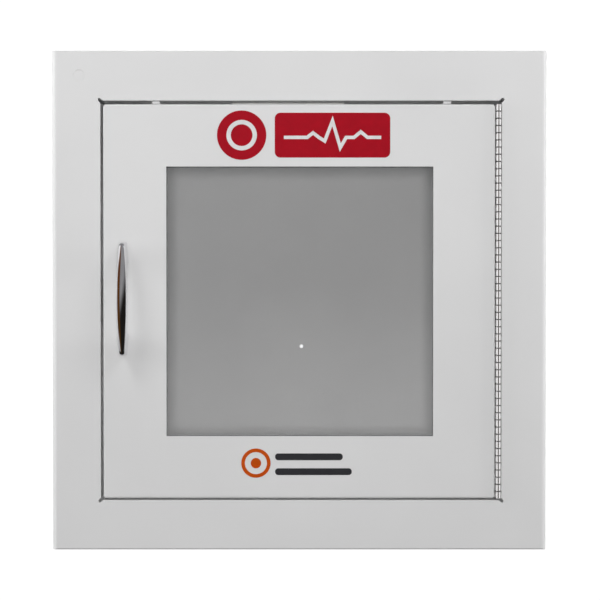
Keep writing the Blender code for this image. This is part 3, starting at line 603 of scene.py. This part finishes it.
def pulse_line(left, right, middle, rise, width):
    """Outline of a heartbeat trace of even width, from left to right."""
    span = right - left
    beats = (
        (0.0, 0.0), (0.24, 0.0), (0.30, 0.28), (0.36, 0.0), (0.42, -0.22), (0.50, 1.0),
        (0.58, -0.62), (0.64, 0.0), (0.72, 0.0), (0.79, 0.34), (0.86, 0.0), (1.0, 0.0),
    )
    centre = [Vector((left + u * span, middle + v * rise)) for u, v in beats]
    upper, lower = [], []
    for index, point in enumerate(centre):
        before = (point - centre[index - 1]).normalized() if index else None
        after = (centre[index + 1] - point).normalized() if index < len(centre) - 1 else None
        heading = ((before or after) + (after or before)).normalized()
        across = Vector((-heading.y, heading.x))
        lean = across.dot(Vector((-(after or before).y, (after or before).x)))
        reach = min(width / 2 / max(lean, 0.25), width * 1.6)
        upper.append(tuple(point + across * reach))
        lower.append(tuple(point - across * reach))
    return upper + lower[::-1]


def ring_outline(centre, outer, inner):
    return [circle(centre, outer), circle(centre, inner)]


def make_labels():
    base = FACE - FILM_LIFT - FILM
    top = base - FILM_LIFT - FILM
    low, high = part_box("upper_label")
    middle = (low.z + high.z) / 2
    radius = (high.z - low.z) / 2 - DISC_MARGIN
    centre = (low.x + radius + DISC_INSET, middle)
    disc = [circle(centre, radius, 80)]
    upper = flat_film("upper_disc", disc, base, FILM, "door", RED)
    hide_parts("upper_label")
    ring = ring_outline(centre, radius * DISC_RING[0], radius * DISC_RING[1])
    flat_film("upper_disc_ring", ring, top, FILM, "door", WHITE_INK)
    left, right = centre[0] + radius + BAND_GAP, high.x - BAND_END
    bottom, above = middle - radius + BAND_TRIM, middle + radius - BAND_TRIM
    band = rounded_rectangle(left, right, bottom, above, BAND_CORNER)
    flat_film("upper_band", [band], base, FILM, "door", RED)
    start, stop = left + PULSE_INSET, right - PULSE_INSET
    trace = pulse_line(start, stop, middle - PULSE_DROP, PULSE_RISE, PULSE_WIDTH)
    flat_film("upper_pulse", [trace], top, FILM, "door", WHITE_INK)

    low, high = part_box("lower_label")
    middle = (low.z + high.z) / 2
    centre = (low.x + LOWER_INSET, middle)
    ring = ring_outline(centre, *LOWER_RING)
    lower = flat_film("lower_ring", ring, base, FILM, "door", ORANGE)
    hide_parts("lower_label")
    dot = [circle(centre, LOWER_DOT, 48)]
    flat_film("lower_dot", dot, base, FILM, "door", ORANGE)
    start = low.x + BARS_START
    for name, drop, length in (("lower_bar_1", 0.0056, 0.0600), ("lower_bar_2", -0.0076, 0.0680)):
        bottom, above = middle + drop - BAR_HALF, middle + drop + BAR_HALF
        bar = rounded_rectangle(start, start + length, bottom, above, BAR_CORNER)
        flat_film(name, [bar], base, FILM, "door", GREY_INK)


# Knock-out

KNOCKOUT_OVERLAP = 0.00035


def make_knockout():
    """The knock-out's slug: a shallow disc that still joins the sheet round its edge."""
    low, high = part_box("knockout_slug")
    centre = (low + high) / 2
    radius = (high.x - low.x) / 2 + KNOCKOUT_OVERLAP
    rings = []
    for inset, depth in ((0, 0.00025), (0.0003, 0.00022), (0.0007, 0.00008), (0.0011, 0)):
        r = radius - inset
        turns = circle((centre.x, centre.z), r)
        rings.append([(u, low.y + depth, v) for u, v in turns])
    rings.insert(0, [(u, high.y, v) for u, _, v in rings[0]])
    shape = bmesh.new()
    loft(shape, rings)
    mesh = mesh_of(shape, "knockout_disc")
    slug = finish_piece("knockout_disc", mesh, "cabinet", PAINT, smooth=35)
    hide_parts("knockout_slug")


# Fasteners

# As shares of the head's radius
HEAD_HEIGHT = 0.62
SHANK_RADIUS = 0.42
RECESS_LONG = 1.1
RECESS_WIDE = 0.22
SCREW_SIDES = 32


def pan_head_screw(name, node, body, axis, head_low):
    """A turned pan head with a cross recess, on a plain shank. axis is X, Y or Z; head_low says whether
    the head is at the axis's low end."""
    low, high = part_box(node)
    index = "XYZ".index(axis)
    across = (index + 1) % 3
    radius = (high[across] - low[across]) / 2
    height = radius * HEAD_HEIGHT
    length = high[index] - low[index]
    shank = radius * SHANK_RADIUS
    profile = [(0.0, 0.0), (radius * 0.45, 0.0)]
    profile += [(radius * 0.78, height * 0.16), (radius * 0.95, height * 0.42)]
    profile += [(radius, height * 0.75), (radius * 0.99, height), (shank, height), (shank, length - shank)]
    profile += [(shank * 0.55, length), (0.0, length)]
    shape = bmesh.new()
    rings = []
    for r, depth in profile[1:-1]:
        turns = [2 * pi * step / SCREW_SIDES for step in range(SCREW_SIDES)]
        rings.append([(r * cos(turn), r * sin(turn), depth) for turn in turns])
    rows = loft(shape, rings)
    start = low[index] if head_low else high[index]
    direction = 1 if head_low else -1
    centre = (low + high) / 2
    for row in rows:
        for vertex in row:
            u, v, depth = vertex.co
            place = Vector(centre)
            place[index] = start + direction * depth
            place[across] += u
            place[(index + 2) % 3] += v
            vertex.co = place
    mesh = mesh_of(shape, name)
    screw = finish_piece(name, mesh, body, ZINC, smooth=30)
    cross = bmesh.new()
    long, wide = radius * RECESS_LONG, radius * RECESS_WIDE
    for first, second in ((long, wide), (wide, long)):
        block = bmesh.ops.create_cube(cross, size=1)["verts"]
        size = Vector((0, 0, 0))
        size[index], size[across], size[(index + 2) % 3] = height * 1.1, first, second
        bmesh.ops.scale(cross, verts=block, vec=size)
        place = Vector(centre)
        place[index] = start
        bmesh.ops.translate(cross, verts=block, vec=place)
    tool = bpy.data.objects.new(f"{name}_recess", mesh_of(cross, f"{name}_recess"))
    bpy.context.scene.collection.objects.link(tool)
    cut = screw.modifiers.new("recess", "BOOLEAN")
    cut.operation, cut.solver, cut.object = "DIFFERENCE", "EXACT", tool
    cut.use_self = True
    graph = bpy.context.evaluated_depsgraph_get()
    cut_mesh = bpy.data.meshes.new_from_object(screw.evaluated_get(graph))
    screw.modifiers.clear()
    screw.data = cut_mesh
    cut_mesh.set_sharp_from_angle(angle=radians(30))
    bpy.data.objects.remove(tool)
    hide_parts(node)
    return screw


# Stage: the floor's drop under the object and half its width, in metres; the background's strength

FLOOR_DROP = 0.55
FLOOR_HALF = 9.0
BACKGROUND = 1.05


def make_floor():
    """A pale floor under the object that fades into the white surroundings."""
    shape = bmesh.new()
    bmesh.ops.create_grid(shape, x_segments=2, y_segments=2, size=FLOOR_HALF)
    mesh = mesh_of(shape, "floor")
    floor = bpy.data.objects.new("floor", mesh)
    floor.location = (0, 0, cad_low.z - FLOOR_DROP)
    bpy.context.scene.collection.objects.link(floor)
    made = Nodes("floor")
    path = made.add("ShaderNodeLightPath")
    pale = made.ramp(made.noise(0.8, 2), (0.84, 0.84, 0.84), (0.87, 0.87, 0.87))
    made.join(pale, made.shader.inputs["Base Color"])
    made.set(Roughness=0.9)
    bounce = made.add("ShaderNodeBsdfDiffuse")
    bounce.inputs["Color"].default_value = (0.16, 0.16, 0.16, 1)
    surface = made.add("ShaderNodeMixShader")
    made.join(path.outputs["Is Camera Ray"], surface.inputs["Fac"])
    made.join(bounce.outputs[0], surface.inputs[1])
    made.join(made.shader.outputs["BSDF"], surface.inputs[2])
    white = made.add("ShaderNodeEmission")
    white.inputs["Strength"].default_value = BACKGROUND
    away = made.add("ShaderNodeVectorMath", operation="LENGTH")
    made.join(made.coordinates, away.inputs[0])
    fade = made.ramp(away.outputs["Value"], 0.0, 1.0, 0.7, 2.1)
    seen = made.add("ShaderNodeMath", operation="MULTIPLY")
    made.join(fade, seen.inputs[0])
    made.join(path.outputs["Is Camera Ray"], seen.inputs[1])
    mixed = made.add("ShaderNodeMixShader")
    made.join(seen.outputs[0], mixed.inputs["Fac"])
    made.join(surface.outputs["Shader"], mixed.inputs[1])
    made.join(white.outputs[0], mixed.inputs[2])
    made.join(mixed.outputs["Shader"], made.output.inputs["Surface"])
    mesh.materials.append(made.material)
    floor.visible_glossy = False


def area_light(name, place, aim, size, power):
    data = bpy.data.lights.new(name, "AREA")
    data.shape = "RECTANGLE"
    data.size, data.size_y = size
    data.energy = power
    light = bpy.data.objects.new(name, data)
    light.location = place
    light.rotation_euler = (Vector(aim) - Vector(place)).to_track_quat("-Z", "Y").to_euler()
    light.visible_glossy = False
    light.visible_camera = False
    bpy.context.scene.collection.objects.link(light)


def make_lights():
    face = (0, FACE, 0)
    area_light("front", (0, -1.60, 0.03), face, (0.2, 0.2), 8.7)
    area_light("upper_left", (-0.62, -0.90, 0.85), face, (0.45, 0.45), 3.3)
    area_light("upper_right", (0.62, -0.90, 0.85), face, (0.45, 0.45), 2.9)
    area_light("side_left", (-1.5, -0.30, 0.35), face, (0.4, 0.7), 13.5)
    area_light("side_right", (1.5, -0.30, 0.35), face, (0.4, 0.7), 12.5)
    area_light("rear_fill", (0.4, 2.2, 0.9), (0, 0, 0), (1.8, 1.8), 14)


# Half the dark gap's angle and where the walls are bright; the studio's strength as a light and in mirrors
DARK_HALF = radians(18)
BRIGHT_FROM = radians(27)
AS_LIGHT = 0.15
IN_REFLECTIONS = 1.0


class World:
    """The world's node tree with short ways to work out a colour from a direction."""

    def __init__(self):
        world = bpy.data.worlds.new("studio")
        bpy.context.scene.world = world
        world.use_nodes = True
        self.tree = world.node_tree
        self.tree.nodes.clear()

    def add(self, kind, **settings):
        node = self.tree.nodes.new(kind)
        for key, value in settings.items():
            setattr(node, key, value)
        return node

    def join(self, source, target):
        self.tree.links.new(source, target)

    def math(self, operation, first, second=None):
        node = self.add("ShaderNodeMath", operation=operation)
        for socket, value in zip(node.inputs, (first, second)):
            if isinstance(value, (int, float)):
                socket.default_value = value
            elif value is not None:
                self.join(value, socket)
        return node.outputs[0]

    def step(self, source, start, end):
        """Runs smoothly from 0 to 1 as source goes from start to end."""
        node = self.add("ShaderNodeMapRange", interpolation_type="SMOOTHSTEP")
        node.inputs["From Min"].default_value = start
        node.inputs["From Max"].default_value = end
        self.join(source, node.inputs["Value"])
        return node.outputs["Result"]

    def blend(self, factor, first, second):
        node = self.add("ShaderNodeMix", data_type="RGBA")
        self.join(factor, node.inputs["Factor"])
        colours = [socket for socket in node.inputs if socket.type == "RGBA"]
        for socket, value in zip(colours, (first, second)):
            if isinstance(value, tuple):
                socket.default_value = (*value, 1)
            else:
                self.join(value, socket)
        return [socket for socket in node.outputs if socket.type == "RGBA"][0]


def make_world():
    """A studio with pale walls at the sides, a dark gap behind the camera and a plain white background."""
    world = World()
    coordinates = world.add("ShaderNodeTexCoord")
    split = world.add("ShaderNodeSeparateXYZ")
    world.join(coordinates.outputs["Generated"], split.inputs[0])
    x, y, z = split.outputs
    side = world.math("ARCTAN2", world.math("ABSOLUTE", x), world.math("MULTIPLY", y, -1))
    wall = world.blend(world.step(z, -0.45, -0.10), (0.035, 0.033, 0.032), (1.05, 1.05, 1.05))
    wall = world.blend(world.step(z, 0.35, 0.75), wall, (0.22, 0.22, 0.225))
    rear = world.blend(world.step(z, -0.3, 0.5), (0.15, 0.15, 0.15), (0.5, 0.5, 0.505))
    sloping = world.math("SUBTRACT", z, world.math("MULTIPLY", x, 0.65))
    gap = world.blend(world.step(sloping, -0.02, 0.12), (0.014, 0.012, 0.011), (0.30, 0.30, 0.305))
    brown = world.blend(world.step(z, -0.5, 0.3), (0.05, 0.03, 0.008), (0.13, 0.045, 0.014))
    gap = world.blend(world.step(x, -0.165, -0.21), gap, brown)
    room = world.blend(world.step(side, DARK_HALF, BRIGHT_FROM), gap, wall)
    room = world.blend(world.step(y, -0.15, 0.35), room, rear)

    path = world.add("ShaderNodeLightPath")
    studio, plain = world.add("ShaderNodeBackground"), world.add("ShaderNodeBackground")
    world.join(room, studio.inputs["Color"])
    mirrored = world.math("MULTIPLY", path.outputs["Is Glossy Ray"], IN_REFLECTIONS - AS_LIGHT)
    world.join(world.math("ADD", mirrored, AS_LIGHT), studio.inputs["Strength"])
    plain.inputs["Color"].default_value = (1, 1, 1, 1)
    plain.inputs["Strength"].default_value = BACKGROUND
    mix, output = world.add("ShaderNodeMixShader"), world.add("ShaderNodeOutputWorld")
    world.join(path.outputs["Is Camera Ray"], mix.inputs["Fac"])
    world.join(studio.outputs[0], mix.inputs[1])
    world.join(plain.outputs[0], mix.inputs[2])
    world.join(mix.outputs[0], output.inputs["Surface"])


def make_camera():
    data = bpy.data.cameras.new("camera")
    data.sensor_width = SENSOR
    data.lens = SENSOR * CAMERA_DISTANCE / VIEW_WIDTH
    camera = bpy.data.objects.new("camera", data)
    camera.location = AIM + Vector((0, -CAMERA_DISTANCE, CAMERA_RAISE))
    camera.rotation_euler = (AIM - camera.location).to_track_quat("-Z", "Y").to_euler()
    bpy.context.scene.collection.objects.link(camera)
    bpy.context.scene.camera = camera


make_camera()
dress_nodes()
make_handle()
make_hinge_leaf("hinge_leaf_frame", "hinge_frame_leaf", 1, 0, "cabinet")
make_hinge_leaf("hinge_leaf_door", "hinge_door_leaf", -1, 1, "door")
make_labels()
make_knockout()
for side in ("upper", "lower"):
    pan_head_screw(f"handle_fixing_{side}", f"handle_screw_{side}", "door", "Y", False)
    pan_head_screw(f"catch_fixing_{side}", f"catch_screw_{side}", "cabinet", "X", False)
for side in ("left", "right"):
    pan_head_screw(f"alarm_mount_fixing_{side}", f"alarm_mount_screw_{side}", "cabinet", "Z", True)
    pan_head_screw(f"alarm_cover_fixing_{side}", f"alarm_cover_screw_{side}", "cabinet", "Z", True)
make_floor()
make_lights()
make_world()
bpy.context.scene.view_settings.view_transform = "Standard"
